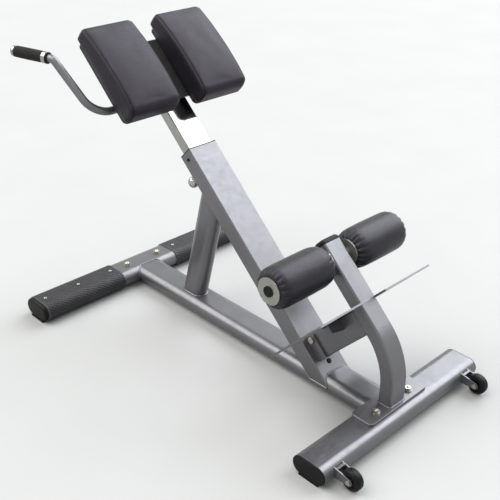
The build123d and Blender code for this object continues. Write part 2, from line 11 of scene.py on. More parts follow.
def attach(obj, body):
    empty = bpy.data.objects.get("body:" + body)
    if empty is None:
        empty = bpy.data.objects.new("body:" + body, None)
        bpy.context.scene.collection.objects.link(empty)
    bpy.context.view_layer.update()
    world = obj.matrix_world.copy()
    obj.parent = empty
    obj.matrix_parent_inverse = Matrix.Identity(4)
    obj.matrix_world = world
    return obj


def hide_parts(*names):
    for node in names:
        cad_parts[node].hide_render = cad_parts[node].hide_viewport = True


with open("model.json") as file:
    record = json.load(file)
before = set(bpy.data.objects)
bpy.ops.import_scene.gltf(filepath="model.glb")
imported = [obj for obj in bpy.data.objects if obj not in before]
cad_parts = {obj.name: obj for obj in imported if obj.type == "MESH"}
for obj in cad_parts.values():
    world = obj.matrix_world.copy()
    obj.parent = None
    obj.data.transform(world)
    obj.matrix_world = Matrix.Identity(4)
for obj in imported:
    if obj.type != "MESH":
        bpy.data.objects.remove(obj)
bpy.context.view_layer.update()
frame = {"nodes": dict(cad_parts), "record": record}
nodes = frame["nodes"]
SIDES = {"left": -1, "right": 1}

# ---- where things are, in metres, as in the CAD -------------------------------------
TUBE_W, TUBE_H = 0.1, 0.05      # flat-oval base tubes and rectangular incline tube
TUBE_R = TUBE_H / 2
SLOPE = math.radians(43)
ALONG = Vector((0, math.cos(SLOPE), math.sin(SLOPE)))
NORMAL = Vector((0, -math.sin(SLOPE), math.cos(SLOPE)))
X_AXIS, Z_AXIS = Vector((1, 0, 0)), Vector((0, 0, 1))
FOOT_Y = -0.5067
HEAD_Y = FOOT_Y + 1.014
BASE_TOP = 0.056
BASE_MID = 0.031
INCLINE_0 = Vector((0, FOOT_Y + 0.191, BASE_TOP))
POST_N = -TUBE_H / 2
PAD_IN, PAD_OUT, PAD_LOW, PAD_HIGH = 0.038, 0.208, 0.822, 1.103
ROLLER_S, ROLLER_N, ROLLER_IN, ROLLER_OUT = 0.245, 0.226, 0.045, 0.235


def on_incline(x, s, n):
    """Point x across, s up the incline and n above its upper face."""
    return INCLINE_0 + Vector((x, 0, 0)) + ALONG * s + NORMAL * n


def incline_coords(co):
    """(x, s, n) of an array of points."""
    rel = np.asarray(co, float) - np.array(INCLINE_0)
    return np.stack([rel[:, 0], rel @ np.array(ALONG), rel @ np.array(NORMAL)], 1)


def from_incline(xsn):
    xsn = np.asarray(xsn, float)
    return (np.array(INCLINE_0) + np.outer(xsn[:, 0], (1, 0, 0)) + np.outer(xsn[:, 1], ALONG)
            + np.outer(xsn[:, 2], NORMAL))


# ---- camera -------------------------------------------------------------------------
CAMERA_AT = Vector((-1.4773, -1.4671, 1.4356))
LENS_MM, SENSOR_MM = 62.0, 36.0
YAW, PITCH, ROLL = math.radians(-44.98), math.radians(28.77), math.radians(1.12)
fwd = Vector((-math.sin(YAW) * math.cos(PITCH), math.cos(YAW) * math.cos(PITCH), -math.sin(PITCH)))
right = Vector((math.cos(YAW), math.sin(YAW), 0))
up = right.cross(fwd)
right_r = right * math.cos(ROLL) + up * math.sin(ROLL)
up_r = -right * math.sin(ROLL) + up * math.cos(ROLL)
cam_data = bpy.data.cameras.new("camera")
cam_data.lens = LENS_MM
cam_data.sensor_width = SENSOR_MM
cam_data.clip_start = 0.05
cam = bpy.data.objects.new("camera", cam_data)
bpy.context.scene.collection.objects.link(cam)
turn = Matrix((right_r, up_r, -fwd)).transposed().to_4x4()
cam.matrix_world = Matrix.Translation(CAMERA_AT) @ turn
bpy.context.scene.camera = cam


# ---- material helpers ---------------------------------------------------------------
class Mat:
    """A node material built from a Principled shader."""

    def __init__(self, name, base, metallic=0.0, roughness=0.5, **sockets):
        self.m = bpy.data.materials.new(name)
        self.m.use_nodes = True
        self.t = self.m.node_tree
        self.b = self.t.nodes["Principled BSDF"]
        self.b.inputs["Base Color"].default_value = (*base, 1)
        self.b.inputs["Metallic"].default_value = metallic
        self.b.inputs["Roughness"].default_value = roughness
        for k, v in sockets.items():
            self.b.inputs[k.replace("_", " ")].default_value = v
        self.co = self.node("ShaderNodeTexCoord").outputs["Object"]
        self.normal = None

    def node(self, kind, **attrs):
        n = self.t.nodes.new(kind)
        for k, v in attrs.items():
            setattr(n, k, v)
        return n

    def link(self, a, b):
        self.t.links.new(a, b)

    def noise(self, scale, detail=3.0, rough=0.5, stretch=None):
        n = self.node("ShaderNodeTexNoise")
        n.inputs["Scale"].default_value = scale
        n.inputs["Detail"].default_value = detail
        n.inputs["Roughness"].default_value = rough
        self.link(self.mapped(stretch), n.inputs["Vector"])
        return n.outputs["Fac"]

    def voronoi(self, scale, feature="F1"):
        n = self.node("ShaderNodeTexVoronoi", feature=feature)
        n.inputs["Scale"].default_value = scale
        self.link(self.co, n.inputs["Vector"])
        return n.outputs["Distance"]

    def mapped(self, stretch):
        """Object coordinates, scaled by a factor on each axis where one is given."""
        if stretch is None:
            return self.co
        n = self.node("ShaderNodeMapping")
        n.inputs["Scale"].default_value = stretch
        self.link(self.co, n.inputs["Vector"])
        return n.outputs["Vector"]

    def curve(self, fac, stops):
        """Colour ramp: stops are (position, value or colour)."""
        n = self.node("ShaderNodeValToRGB")
        e = n.color_ramp.elements
        while len(e) < len(stops):
            e.new(0.5)
        for el, (p, v) in zip(e, stops):
            el.position = p
            el.color = (v, v, v, 1) if isinstance(v, (int, float)) else (*v, 1)
        self.link(fac, n.inputs["Fac"])
        return n.outputs["Color"]

    def maths(self, op, a, b=0.0):
        n = self.node("ShaderNodeMath", operation=op)
        for i, v in enumerate((a, b)):
            if isinstance(v, (int, float)):
                n.inputs[i].default_value = v
            else:
                self.link(v, n.inputs[i])
        return n.outputs[0]

    def mix(self, fac, a, b, blend="MIX"):
        n = self.node("ShaderNodeMix", data_type="RGBA", blend_type=blend)
        for i, v in ((0, fac), (6, a), (7, b)):
            if isinstance(v, (int, float)):
                n.inputs[i].default_value = v
            elif isinstance(v, tuple):
                n.inputs[i].default_value = (*v, 1)
            else:
                self.link(v, n.inputs[i])
        return n.outputs[2]

    def colour(self, out):
        self.link(out, self.b.inputs["Base Color"])

    def rough(self, out):
        self.link(out, self.b.inputs["Roughness"])

    def bump(self, height, distance, strength=1.0):
        n = self.node("ShaderNodeBump")
        n.inputs["Strength"].default_value = strength
        n.inputs["Distance"].default_value = distance
        self.link(height, n.inputs["Height"])
        if self.normal is not None:
            self.link(self.normal, n.inputs["Normal"])
        self.normal = n.outputs["Normal"]
        self.link(self.normal, self.b.inputs["Normal"])

    def rounded(self, radius):
        """Shades sharp edges as if rounded; called before any bump, which then adds to it."""
        n = self.node("ShaderNodeBevel")
        n.samples = 4
        n.inputs["Radius"].default_value = radius
        self.normal = n.outputs["Normal"]
        self.link(self.normal, self.b.inputs["Normal"])


def shade(colour, factor):
    return tuple(c * factor for c in colour)


def paint(name, base):
    """Metallic powder coat: orange peel, fine flake and faint rubbed patches."""
    p = Mat(name, base, 0.78, 0.36, Coat_Weight=0.2, Coat_Roughness=0.2)
    flake = p.curve(p.voronoi(2600), [(0.0, shade(base, 0.86)), (0.8, shade(base, 1.12))])
    cloud = p.curve(p.noise(9, 4), [(0.35, 0.93), (0.65, 1.05)])
    p.colour(p.mix(1.0, flake, cloud, "MULTIPLY"))
    p.rough(p.curve(p.noise(60, 5), [(0.3, 0.31), (0.7, 0.42)]))
    p.rounded(0.0011)
    p.bump(p.noise(520, 2), 0.00009)
    return p.m


def metal(name, base, lo, hi, grain, scratch, metallic=1.0, bevel=0.0004):
    """Bare metal: its roughness runs from lo to hi along fine marks, which also scratch it."""
    p = Mat(name, base, metallic, lo)
    lines = p.noise(1.0, 3, 0.6, stretch=grain)
    p.rough(p.curve(lines, [(0.3, lo), (0.7, hi)]))
    cloud = p.noise(45, 5)
    p.colour(p.curve(cloud, [(0.3, shade(base, 0.86)), (0.7, base)]))
    if bevel:
        p.rounded(bevel)
    p.bump(lines, scratch)
    return p.m


def plastic(name, base, roughness, grain, depth):
    """Moulded plastic with a fine texture and an uneven gloss."""
    p = Mat(name, base, 0.0, roughness, Specular_IOR_Level=0.13)
    p.colour(p.curve(p.noise(24, 4), [(0.3, shade(base, 0.8)), (0.7, shade(base, 1.25))]))
    p.rough(p.curve(p.noise(140, 4), [(0.3, roughness - 0.06), (0.7, roughness + 0.08)]))
    p.rounded(0.0006)
    p.bump(p.noise(grain, 3), depth)
    return p.m


def vinyl(name, base, roughness=0.40, grain=620.0, specular=0.2):
    """Upholstery vinyl: pebbled grain of two sizes, soft creases and an uneven sheen."""
    p = Mat(name, base, 0.0, roughness, Specular_IOR_Level=specular, Specular_Tint=(0.98, 0.90, 1.0, 1))
    p.colour(p.curve(p.noise(18, 5), [(0.3, shade(base, 0.82)), (0.7, shade(base, 1.2))]))
    pebble = p.voronoi(grain, "DISTANCE_TO_EDGE")
    p.rough(p.curve(p.noise(110, 5), [(0.3, roughness - 0.05), (0.7, roughness + 0.07)]))
    p.bump(p.noise(28, 3), 0.0011, 0.5)
    p.bump(p.curve(pebble, [(0.0, 0.0), (0.22, 1.0)]), 0.00011)
    p.bump(p.noise(grain * 3, 2), 0.00004)
    return p


def tread_rubber():
    """Black rubber with painted shade in the grooves of its pattern and a painted highlight along its ridges,
    both read from the surface's pointiness.
    """
    t = Mat("tread_rubber", (0.013, 0.011, 0.014), 0.0, 0.46, Specular_IOR_Level=0.32)
    edges = t.node("ShaderNodeNewGeometry").outputs["Pointiness"]
    groove_painted_shade, flat, ridge_painted_highlight = (0.002, 0.002, 0.002), (0.0145, 0.013, 0.0145), (0.045, 0.041, 0.047)
    # Painted light: near-black shade where the surface is hollow, a pale highlight where it is sharp.
    relief_shade_and_highlight = t.curve(edges, [(0.47, groove_painted_shade), (0.505, flat), (0.54, ridge_painted_highlight)])
    t.colour(t.mix(1.0, relief_shade_and_highlight, t.curve(t.noise(30, 5), [(0.3, 0.75), (0.7, 1.2)]), "MULTIPLY"))
    t.rough(t.curve(t.noise(160, 4), [(0.3, 0.40), (0.7, 0.55)]))
    t.bump(t.noise(1900, 3), 0.00005)
    return t.m


def grip_foam():
    f = Mat("grip_foam", (0.011, 0.010, 0.010), 0.0, 0.72, Specular_IOR_Level=0.2)
    f.colour(f.curve(f.noise(60, 5), [(0.3, (0.005, 0.0045, 0.0045)), (0.7, (0.012, 0.0105, 0.0105))]))
    f.bump(f.voronoi(1300), 0.00025)
    f.bump(f.noise(90, 3), 0.0004, 0.6)
    return f.m


SEAM_IN = 0.0085


def pad_vinyl():
    """Vinyl with painted shade along the two seam grooves, which run up the incline near the pad's long
    sides.
    """
    v = vinyl("pad_vinyl", (0.0125, 0.0100, 0.0145))
    split = v.node("ShaderNodeSeparateXYZ")
    v.link(v.co, split.inputs[0])
    across = v.maths("ABSOLUTE", split.outputs["X"])
    from_mid = v.maths("ABSOLUTE", v.maths("SUBTRACT", across, (PAD_IN + PAD_OUT) / 2))
    from_seam = v.maths("ABSOLUTE", v.maths("SUBTRACT", from_mid, (PAD_OUT - PAD_IN) / 2 - SEAM_IN))
    # Painted shade: a near-black line along each seam stands in for the shadow in its groove.
    seam_groove_painted_shade = v.curve(v.maths("MULTIPLY", from_seam, 200.0), [(0.16, 0.0), (0.44, 1.0)])
    v.colour(v.mix(seam_groove_painted_shade, (0.002, 0.002, 0.002), v.b.inputs["Base Color"].links[0].from_socket))
    return v.m


def sewing_thread():
    t = Mat("thread", (0.012, 0.011, 0.014), 0.0, 0.55)
    t.bump(t.noise(2500, 2), 0.0001)
    t.colour(t.curve(t.noise(900), [(0.3, (0.008, 0.008, 0.010)), (0.7, (0.024, 0.022, 0.028))]))
    return t.m


def plywood():
    w = Mat("plywood", (0.45, 0.30, 0.16), 0.0, 0.62)
    grain = w.noise(1.0, 6, 0.6, stretch=(260, 14, 14))
    dark, mid, light = (0.24, 0.145, 0.070), (0.42, 0.28, 0.15), (0.52, 0.37, 0.21)
    w.colour(w.curve(grain, [(0.25, dark), (0.5, mid), (0.75, light)]))
    w.bump(grain, 0.0002)
    return w.m


M = {
    "frame": paint("frame_paint", (0.136, 0.133, 0.141)),
    "chrome": metal("polished_chrome", (0.34, 0.335, 0.325), 0.07, 0.13, (25, 25, 25), 0.000003,
                    bevel=0.0022),
    "knob": metal("knob_chrome", (0.40, 0.40, 0.395), 0.10, 0.22, (60, 60, 60), 0.00001, bevel=0),
    "zinc": metal("zinc_plate", (0.44, 0.405, 0.36), 0.20, 0.36, (160, 160, 160), 0.00002),
    "satin": metal("satin_steel", (0.30, 0.295, 0.275), 0.30, 0.46, (30, 500, 500), 0.00002, 0.85),
    "plastic": plastic("black_plastic", (0.0042, 0.0040, 0.0042), 0.42, 1500, 0.00006),
    "wheel": plastic("wheel_black", (0.006, 0.0055, 0.0055), 0.40, 1100, 0.00006),
    "tread": tread_rubber(),
    "foam": grip_foam(),
    "pad": pad_vinyl(),
    "roller": vinyl("roller_vinyl", (0.009, 0.0085, 0.011), 0.36, 700.0, 0.3).m,
    "hem": vinyl("hem_vinyl", (0.015, 0.014, 0.018), 0.45, 620.0).m,
    "thread": sewing_thread(),
    "ply": plywood(),
}

BY_SLOT = {
    "frame_paint": "frame", "chrome": "chrome", "knob_chrome": "knob", "zinc_steel": "zinc",
    "satin_steel": "satin", "black_plastic": "plastic", "tread_rubber": "tread", "wheel_black": "wheel",
    "plywood": "ply", "grip_foam": "foam", "pad_vinyl": "pad", "roller_vinyl": "roller",
}
for part in frame["record"]["subparts"]:
    obj = nodes[part["node"]]
    obj.data.materials.clear()
    obj.data.materials.append(M[BY_SLOT[part["material_slot"]]])


# ---- mesh helpers -------------------------------------------------------------------
def add_mesh(name, verts, faces, material, smooth=True):
    me = bpy.data.meshes.new(name)
    me.from_pydata([tuple(v) for v in verts], [], faces)
    me.validate()
    bm = bmesh.new()
    bm.from_mesh(me)
    bmesh.ops.recalc_face_normals(bm, faces=bm.faces)
    bm.to_mesh(me)
    bm.free()
    me.materials.append(material)
    for p in me.polygons:
        p.use_smooth = smooth
    ob = bpy.data.objects.new(name, me)
    bpy.context.scene.collection.objects.link(ob)
    return ob


def soften(ob, angle):
    """Smooth shading that keeps edges sharper than the angle."""
    bm = bmesh.new()
    bm.from_mesh(ob.data)
    for e in bm.edges:
        if len(e.link_faces) == 2 and e.calc_face_angle(0) > math.radians(angle):
            e.smooth = False
    for f in bm.faces:
        f.smooth = True
    bm.to_mesh(ob.data)
    bm.free()


def ring_faces(rings, n):
    """Quads between successive rings of n points."""
    out = []
    for i in range(rings - 1):
        for j in range(n):
            k = (j + 1) % n
            out.append((i * n + j, i * n + k, (i + 1) * n + k, (i + 1) * n + j))
    return out


def basis(axis):
    """Two unit vectors square to an axis."""
    axis = axis.normalized()
    a = axis.orthogonal().normalized()
    return a, axis.cross(a)


def lathe(name, start, axis, profile, material, segs, radius):
    """Surface turned about an axis and closed at both ends.

    The profile is (distance, radius); radius() then varies that with distance and angle.
    """
    a, b = basis(axis)
    axis = axis.normalized()
    verts = []
    for t, r in profile:
        for j in range(segs):
            ang = 2 * math.pi * j / segs
            verts.append(start + axis * t + (a * math.cos(ang) + b * math.sin(ang)) * radius(t, ang, r))
    faces = ring_faces(len(profile), segs)
    last = (len(profile) - 1) * segs
    faces.append(tuple(range(segs))[::-1])
    faces.append(tuple(range(last, last + segs)))
    return add_mesh(name, verts, faces, material)


BEAD_STEP, BEAD_SIDES, BEAD_RIPPLE = 0.0009, 10, 0.0024


def bead(points, width, name, body):
    """Weld bead along a closed loop of points: a rippled roll of weld metal, painted over."""
    pts = [Vector(p) for p in points]
    lengths = [(pts[(i + 1) % len(pts)] - pts[i]).length for i in range(len(pts))]
    total = sum(lengths)
    count = max(24, int(total / BEAD_STEP))
    way, seg, base = [], 0, 0.0
    for k in range(count):
        d = total * k / count
        while d > base + lengths[seg] and seg < len(pts) - 1:
            base += lengths[seg]
            seg += 1
        way.append(pts[seg].lerp(pts[(seg + 1) % len(pts)], (d - base) / max(lengths[seg], 1e-9)))
    verts, n = [], BEAD_SIDES
    for k, p in enumerate(way):
        tangent = (way[(k + 3) % count] - way[k - 3]).normalized()
        a, b = basis(tangent)
        wave = (total * k / count / BEAD_RIPPLE) % 1.0
        ripple = 0.86 + 0.14 * math.sqrt(1 - (wave - 0.5) ** 2 * 3.2)
        r = width * (ripple + 0.12 * noise.noise(p * 220))
        for j in range(n):
            ang = 2 * math.pi * j / n
            verts.append(p + (a * math.cos(ang) + b * math.sin(ang)) * r)
    # The frame of each ring turns with its tangent, so rings are matched by nearest start.
    for k in range(1, count):
        prev = verts[(k - 1) * n]
        ring = verts[k * n:(k + 1) * n]
        j0 = min(range(n), key=lambda j: (ring[j] - prev).length)
        verts[k * n:(k + 1) * n] = ring[j0:] + ring[:j0]
    last, first = verts[(count - 1) * n:], verts[:n]
    shift = min(range(n), key=lambda j: (first[j] - last[0]).length)
    faces = ring_faces(count, n)
    for j in range(n):
        k = (j + 1) % n
        faces.append(((count - 1) * n + j, (count - 1) * n + k, (k + shift) % n, (j + shift) % n))
    ob = add_mesh(name, verts, faces, M["frame"])
    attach(ob, body)


def slot_outline(length, height, n=16):
    """Points round a slot with semicircular ends, long way first."""
    r, half = height / 2, (length - height) / 2
    end = [(half + r * math.cos(a), r * math.sin(a)) for a in np.linspace(-math.pi / 2, math.pi / 2, n)]
    return end + [(-x, -y) for x, y in end]


def rect_outline(length, height, r, n=5, between=1):
    """Points round a rectangle with n points to each rounded corner, each run cut into equal steps."""
    pts = []
    for cx, cy, a0 in ((1, -1, -90), (1, 1, 0), (-1, 1, 90), (-1, -1, 180)):
        for a in np.linspace(math.radians(a0), math.radians(a0 + 90), n):
            pts.append((cx * (length / 2 - r) + r * math.cos(a), cy * (height / 2 - r) + r * math.sin(a)))
    out = []
    for i, p in enumerate(pts):
        q = pts[(i + 1) % len(pts)]
        for k in range(between):
            out.append((p[0] + (q[0] - p[0]) * k / between, p[1] + (q[1] - p[1]) * k / between))
    return out


def hit_plane(point, direction, on_plane, plane_normal):
    """Where a line meets a plane."""
    return point + direction * ((on_plane - point).dot(plane_normal) / direction.dot(plane_normal))


def oval_top(x):
    """Height of a base tube's upper surface at x from its centre line."""
    d = max(0.0, abs(x) - (TUBE_W - TUBE_H) / 2)
    return BASE_MID + math.sqrt(max(0.0, TUBE_R ** 2 - d ** 2))


# ---- cushions -----------------------------------------------------------------------
def remeshed(name, node, voxel):
    """Copy of a CAD node's mesh, remeshed into even quads."""
    ob = bpy.data.objects.new(name, nodes[node].data.copy())
    bpy.context.scene.collection.objects.link(ob)
    bm = bmesh.new()
    bm.from_mesh(ob.data)
    bmesh.ops.remove_doubles(bm, verts=bm.verts, dist=1e-5)
    bm.to_mesh(ob.data)
    bm.free()
    mod = ob.modifiers.new("remesh", "REMESH")
    mod.mode = "VOXEL"
    mod.voxel_size = voxel
    mod.use_smooth_shade = True
    apply_modifiers(ob)
    return ob


def apply_modifiers(ob):
    bpy.context.view_layer.update()
    done = bpy.data.meshes.new_from_object(ob.evaluated_get(bpy.context.evaluated_depsgraph_get()))
    old = ob.data
    ob.modifiers.clear()
    ob.data = done
    bpy.data.meshes.remove(old)


def coords(ob):
    co = np.zeros(len(ob.data.vertices) * 3)
    ob.data.vertices.foreach_get("co", co)
    return co.reshape(-1, 3)


def set_coords(ob, co):
    ob.data.vertices.foreach_set("co", np.ascontiguousarray(co, dtype=np.float32).ravel())
    ob.data.update()


def inflate(ob, pinned, pressure, cap, frames=20, evening=30):
    """Cloth simulation under pressure, scaled to a greatest displacement; pinned vertices stay."""
    start = coords(ob)
    outward = np.array([v.normal for v in ob.data.vertices])
    group = ob.vertex_groups.new(name="pin")
    group.add([int(i) for i in np.nonzero(pinned)[0]], 1.0, "REPLACE")
    cloth = ob.modifiers.new("cloth", "CLOTH")
    c = cloth.settings
    c.quality = 6
    c.mass = 0.25
    c.tension_stiffness = 22
    c.compression_stiffness = 22
    c.shear_stiffness = 12
    c.bending_stiffness = 4.0
    c.use_pressure = True
    c.uniform_pressure_force = pressure
    c.vertex_group_mass = "pin"
    c.effector_weights.gravity = 0
    cloth.collision_settings.use_collision = False
    scene = bpy.context.scene
    for f in range(1, frames + 1):
        scene.frame_set(f)
    ev = ob.evaluated_get(bpy.context.evaluated_depsgraph_get())
    co = np.zeros(len(ev.data.vertices) * 3)
    ev.data.vertices.foreach_get("co", co)
    moved = co.reshape(-1, 3) - start
    # The swelling is kept and the puckers are evened out: the real cover is taut.
    edges = np.zeros(len(ob.data.edges) * 2, dtype=np.int64)
    ob.data.edges.foreach_get("vertices", edges)
    a, b = edges.reshape(-1, 2).T
    degree = np.bincount(np.concatenate([a, b]), minlength=len(start))[:, None]
    for _ in range(evening):
        total = np.zeros_like(moved)
        np.add.at(total, a, moved[b])
        np.add.at(total, b, moved[a])
        moved = np.where(pinned[:, None], moved, 0.4 * moved + 0.6 * total / degree)
    swell = np.maximum(0.0, (moved * outward).sum(1))
    moved = outward * (swell * min(1.0, cap / max(swell.max(), 1e-9)))[:, None]
    ob.modifiers.clear()
    ob.vertex_groups.clear()
    scene.frame_set(1)
    set_coords(ob, start + moved)


def subdivide(ob):
    mod = ob.modifiers.new("sub", "SUBSURF")
    mod.levels = 1
    mod.render_levels = 1
    apply_modifiers(ob)


def smoothstep(a, b, v):
    t = np.clip((v - a) / (b - a), 0, 1)
    return t * t * (3 - 2 * t)


PAD_MID = (PAD_IN + PAD_OUT) / 2        # middle and half size of a pad, across and up the incline
PAD_HALF = (PAD_OUT - PAD_IN) / 2
PAD_MID_S = (PAD_LOW + PAD_HIGH) / 2
PAD_HALF_S = (PAD_HIGH - PAD_LOW) / 2
PAD_CORNER = 0.012
PAD_FLOOR = 0.016                       # upper face of its board
VOXEL = 0.0045
PRESSURE, SWELL = 4.0, 0.0036
LOWER_END_RISE = 0.008
SEAM = PAD_HALF - SEAM_IN               # from a pad's middle line to either seam
GROOVE = ((0.0016, 0.0017), (0.0006, 0.006))    # depth and width: the stitching, the pull round it
UNEVENNESS = 0.0007
STITCH_PITCH, STITCH_HALF, STITCH_R = 0.0046, 0.0016, 0.00042
STITCH_SIDES = 6


def round_corners(xsn, mid_x, mid_s):
    """Rounds a cushion's four corners as seen from above."""
    a = np.abs(xsn[:, 0] - mid_x) - (PAD_HALF - PAD_CORNER)
    b = np.abs(xsn[:, 1] - mid_s) - (PAD_HALF_S - PAD_CORNER)
    inside = (a > 0) & (b > 0)
    a, b = np.maximum(a, 1e-9), np.maximum(b, 1e-9)
    pull = np.where(inside, np.maximum(a, b) / np.hypot(a, b), 1.0)
    xsn[:, 0] -= np.where(inside, np.sign(xsn[:, 0] - mid_x) * a * (1 - pull), 0)
    xsn[:, 1] -= np.where(inside, np.sign(xsn[:, 1] - mid_s) * b * (1 - pull), 0)


def cushion(side, sx):
    """Thigh pad: its CAD solid remeshed, swollen, then given its seams and slow unevenness."""
    node = f"thigh_pad_{side}"
    pad = remeshed(f"cushion_{side}", node, VOXEL)
    mid_x = sx * PAD_MID
    # A slightly smaller start, so that the swelling brings it back to size.
    xsn = incline_coords(coords(pad))
    xsn[:, 0] = mid_x + (xsn[:, 0] - mid_x) * 0.988
    xsn[:, 1] = PAD_MID_S + (xsn[:, 1] - PAD_MID_S) * 0.994
    xsn[:, 2] = PAD_FLOOR + (xsn[:, 2] - PAD_FLOOR) * 0.965
    # The cover stands a little prouder towards the pad's lower end.
    low = (PAD_HIGH - xsn[:, 1]) / (PAD_HIGH - PAD_LOW)
    xsn[:, 2] += LOWER_END_RISE * low * smoothstep(PAD_FLOOR, 0.055, xsn[:, 2])
    round_corners(xsn, mid_x, PAD_MID_S)
    set_coords(pad, from_incline(xsn))
    inflate(pad, xsn[:, 2] < PAD_FLOOR + 0.004, PRESSURE, SWELL)
    subdivide(pad)
    xsn = incline_coords(coords(pad))
    xsn[:, 2] = np.maximum(xsn[:, 2], PAD_FLOOR + 0.0002)
    # Seams: a narrow groove with the cover pulled in round it, along both long sides.
    off = np.abs(np.abs(xsn[:, 0] - mid_x) - SEAM)
    upper = smoothstep(0.030, 0.048, xsn[:, 2])
    xsn[:, 2] -= upper * sum(depth * np.exp(-(off / width) ** 2) for depth, width in GROOVE)
    for i, (x, s, n) in enumerate(xsn):
        top = smoothstep(0.020, 0.045, n)
        xsn[i, 2] += float(top) * UNEVENNESS * noise.noise(Vector((x * 22, s * 17, n * 20 + sx)))
    set_coords(pad, from_incline(xsn))
    pad.data.materials.clear()
    pad.data.materials.append(M["pad"])
    for p in pad.data.polygons:
        p.use_smooth = True
    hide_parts(node)
    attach(pad, "carriage")
    return pad


def stitches(side, sx, pad):
    """Stitches beside each seam of a cushion, lying on its cover."""
    tree = BVHTree.FromObject(pad, bpy.context.evaluated_depsgraph_get())
    verts, faces, n = [], [], STITCH_SIDES
    for edge in (-1, 1):
        x = sx * PAD_MID + edge * (SEAM - 0.0032)
        for s in np.arange(PAD_LOW + 0.016, PAD_HIGH - 0.012, STITCH_PITCH):
            hits = [tree.ray_cast(on_incline(x, s + ds, 0.15), -NORMAL) for ds in (-STITCH_HALF, STITCH_HALF)]
            ends = [hit[0] + hit[1] * 0.00005 for hit in hits if hit[0] is not None]
            if len(ends) < 2:
                continue
            axis = (ends[1] - ends[0]).normalized()
            a, b = basis(axis)
            base, length = len(verts), (ends[1] - ends[0]).length
            for t, r in ((0.0, 0.00015), (0.15, STITCH_R), (0.85, STITCH_R), (1.0, 0.00015)):
                for j in range(n):
                    ang = 2 * math.pi * j / n
                    out = (a * math.cos(ang) + b * math.sin(ang)) * r
                    verts.append(ends[0] + axis * (t * length) + out)
            faces += [tuple(v + base for v in f) for f in ring_faces(4, n)]
            faces.append(tuple(base + j for j in range(n))[::-1])
            faces.append(tuple(base + 3 * n + j for j in range(n)))
    ob = add_mesh(f"pad_stitches_{side}", verts, faces, M["thread"])
    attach(ob, "carriage")


for side, sx in SIDES.items():
    stitches(side, sx, cushion(side, sx))

# ---- the cover's hem, folded under each board and stapled ---------------------------
HEM_IN, HEM_LOW, HEM_WIDTH = 0.0115, -0.0030, 0.024
BOARD_LOW = -0.0021
HEM_HALF, HEM_HALF_S = PAD_HALF - HEM_IN, PAD_HALF_S - HEM_IN
STAPLE_IN, STAPLE_PITCH = 0.013, 0.032
STAPLE_LONG, STAPLE_THIN = 0.0055, 0.0006       # half sizes
PLATE_X, PLATE_LOW, PLATE_HIGH = 0.172, 0.862, 1.060
BOX_FACES = ((0, 1, 2, 3), (4, 5, 6, 7), (0, 1, 5, 4), (1, 2, 6, 5), (2, 3, 7, 6), (3, 0, 4, 7))


def hem(side, sx):
    """Strip of the cover round and under a board's edge: loops of points, each (inset, n)."""
    loops = ((HEM_WIDTH, BOARD_LOW), (HEM_WIDTH, HEM_LOW), (0.0010, HEM_LOW), (0.0, HEM_LOW + 0.0012),
             (0.0, PAD_FLOOR + 0.001))
    verts, per_corner = [], 16
    for inset, n in loops:
        inner = inset == HEM_WIDTH
        corner = 0.004 if inner else 0.014
        for x, s in rect_outline(2 * (HEM_HALF - inset), 2 * (HEM_HALF_S - inset), corner, per_corner):
            wave = 0.0008 * noise.noise(Vector((x * 60, s * 60, n * 100))) if inner else 0.0
            verts.append(on_incline(sx * PAD_MID + x + wave, PAD_MID_S + s + wave, n))
    per = 4 * per_corner
    last = (len(loops) - 1) * per
    faces = ring_faces(len(loops), per)
    faces += [(last + j, last + (j + 1) % per, (j + 1) % per, j) for j in range(per)]
    ob = add_mesh(f"pad_hem_{side}", verts, faces, M["hem"])
    soften(ob, 40)
    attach(ob, "carriage")


def staple_spots():
    """(x, s, half x, half s) of each staple round a pad, from the pad's middle."""
    for edge in (-1, 1):
        for s in np.arange(-HEM_HALF_S + 0.03, HEM_HALF_S - 0.02, STAPLE_PITCH):
            yield edge * (HEM_HALF - STAPLE_IN), s, STAPLE_THIN, STAPLE_LONG
    for edge in (-1, 1):
        for x in np.arange(-HEM_HALF + 0.03, HEM_HALF - 0.02, STAPLE_PITCH):
            yield x, edge * (HEM_HALF_S - STAPLE_IN), STAPLE_LONG, STAPLE_THIN


def hem_staples():
    verts, faces = [], []
    for sx in SIDES.values():
        for x, s, half_x, half_s in staple_spots():
            # Those over the steel plate are left out.
            if abs(sx * PAD_MID + x) < PLATE_X and PLATE_LOW < PAD_MID_S + s < PLATE_HIGH:
                continue
            base = len(verts)
            for n in (HEM_LOW - 0.0006, HEM_LOW + 0.0002):
                for ux, us in ((-1, -1), (1, -1), (1, 1), (-1, 1)):
                    verts.append(on_incline(sx * PAD_MID + x + ux * half_x, PAD_MID_S + s + us * half_s, n))
            faces += [tuple(base + i for i in f) for f in BOX_FACES]
    ob = add_mesh("hem_staples", verts, faces, M["satin"], smooth=False)
    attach(ob, "carriage")


for side, sx in SIDES.items():
    hem(side, sx)
hem_staples()

# ---- ankle rollers: foam in a vinyl sleeve, gathered over the ends ------------------
PUCKERS = 19
ROLLER_LEN = ROLLER_OUT - ROLLER_IN
ROLLER_SEGS = 340
INNER_END = (
    (0.0012, 0.0195, 1), (0.0004, 0.0260, 1), (0.0004, 0.0320, 1), (0.0010, 0.0365, 1), (0.0028, 0.0405, 1),
    (0.0058, 0.0440, 1), (0.0096, 0.0470, 0.85), (0.0142, 0.0494, 0.55), (0.0198, 0.0513, 0.3),
    (0.0262, 0.0525, 0.12), (0.0340, 0.0533, 0.04), (0.0430, 0.0537, 0.01),
)
OUTER_END = (
    (0.0012, 0.0195, 1), (0.0004, 0.0260, 1), (0.0004, 0.0340, 1), (0.0010, 0.0400, 1), (0.0028, 0.0438, 1),
    (0.0058, 0.0470, 0.85), (0.0096, 0.0496, 0.5), (0.0142, 0.0516, 0.2), (0.0200, 0.0529, 0.06),
    (0.0270, 0.0535, 0.01), (0.0350, 0.0537, 0.0),
)


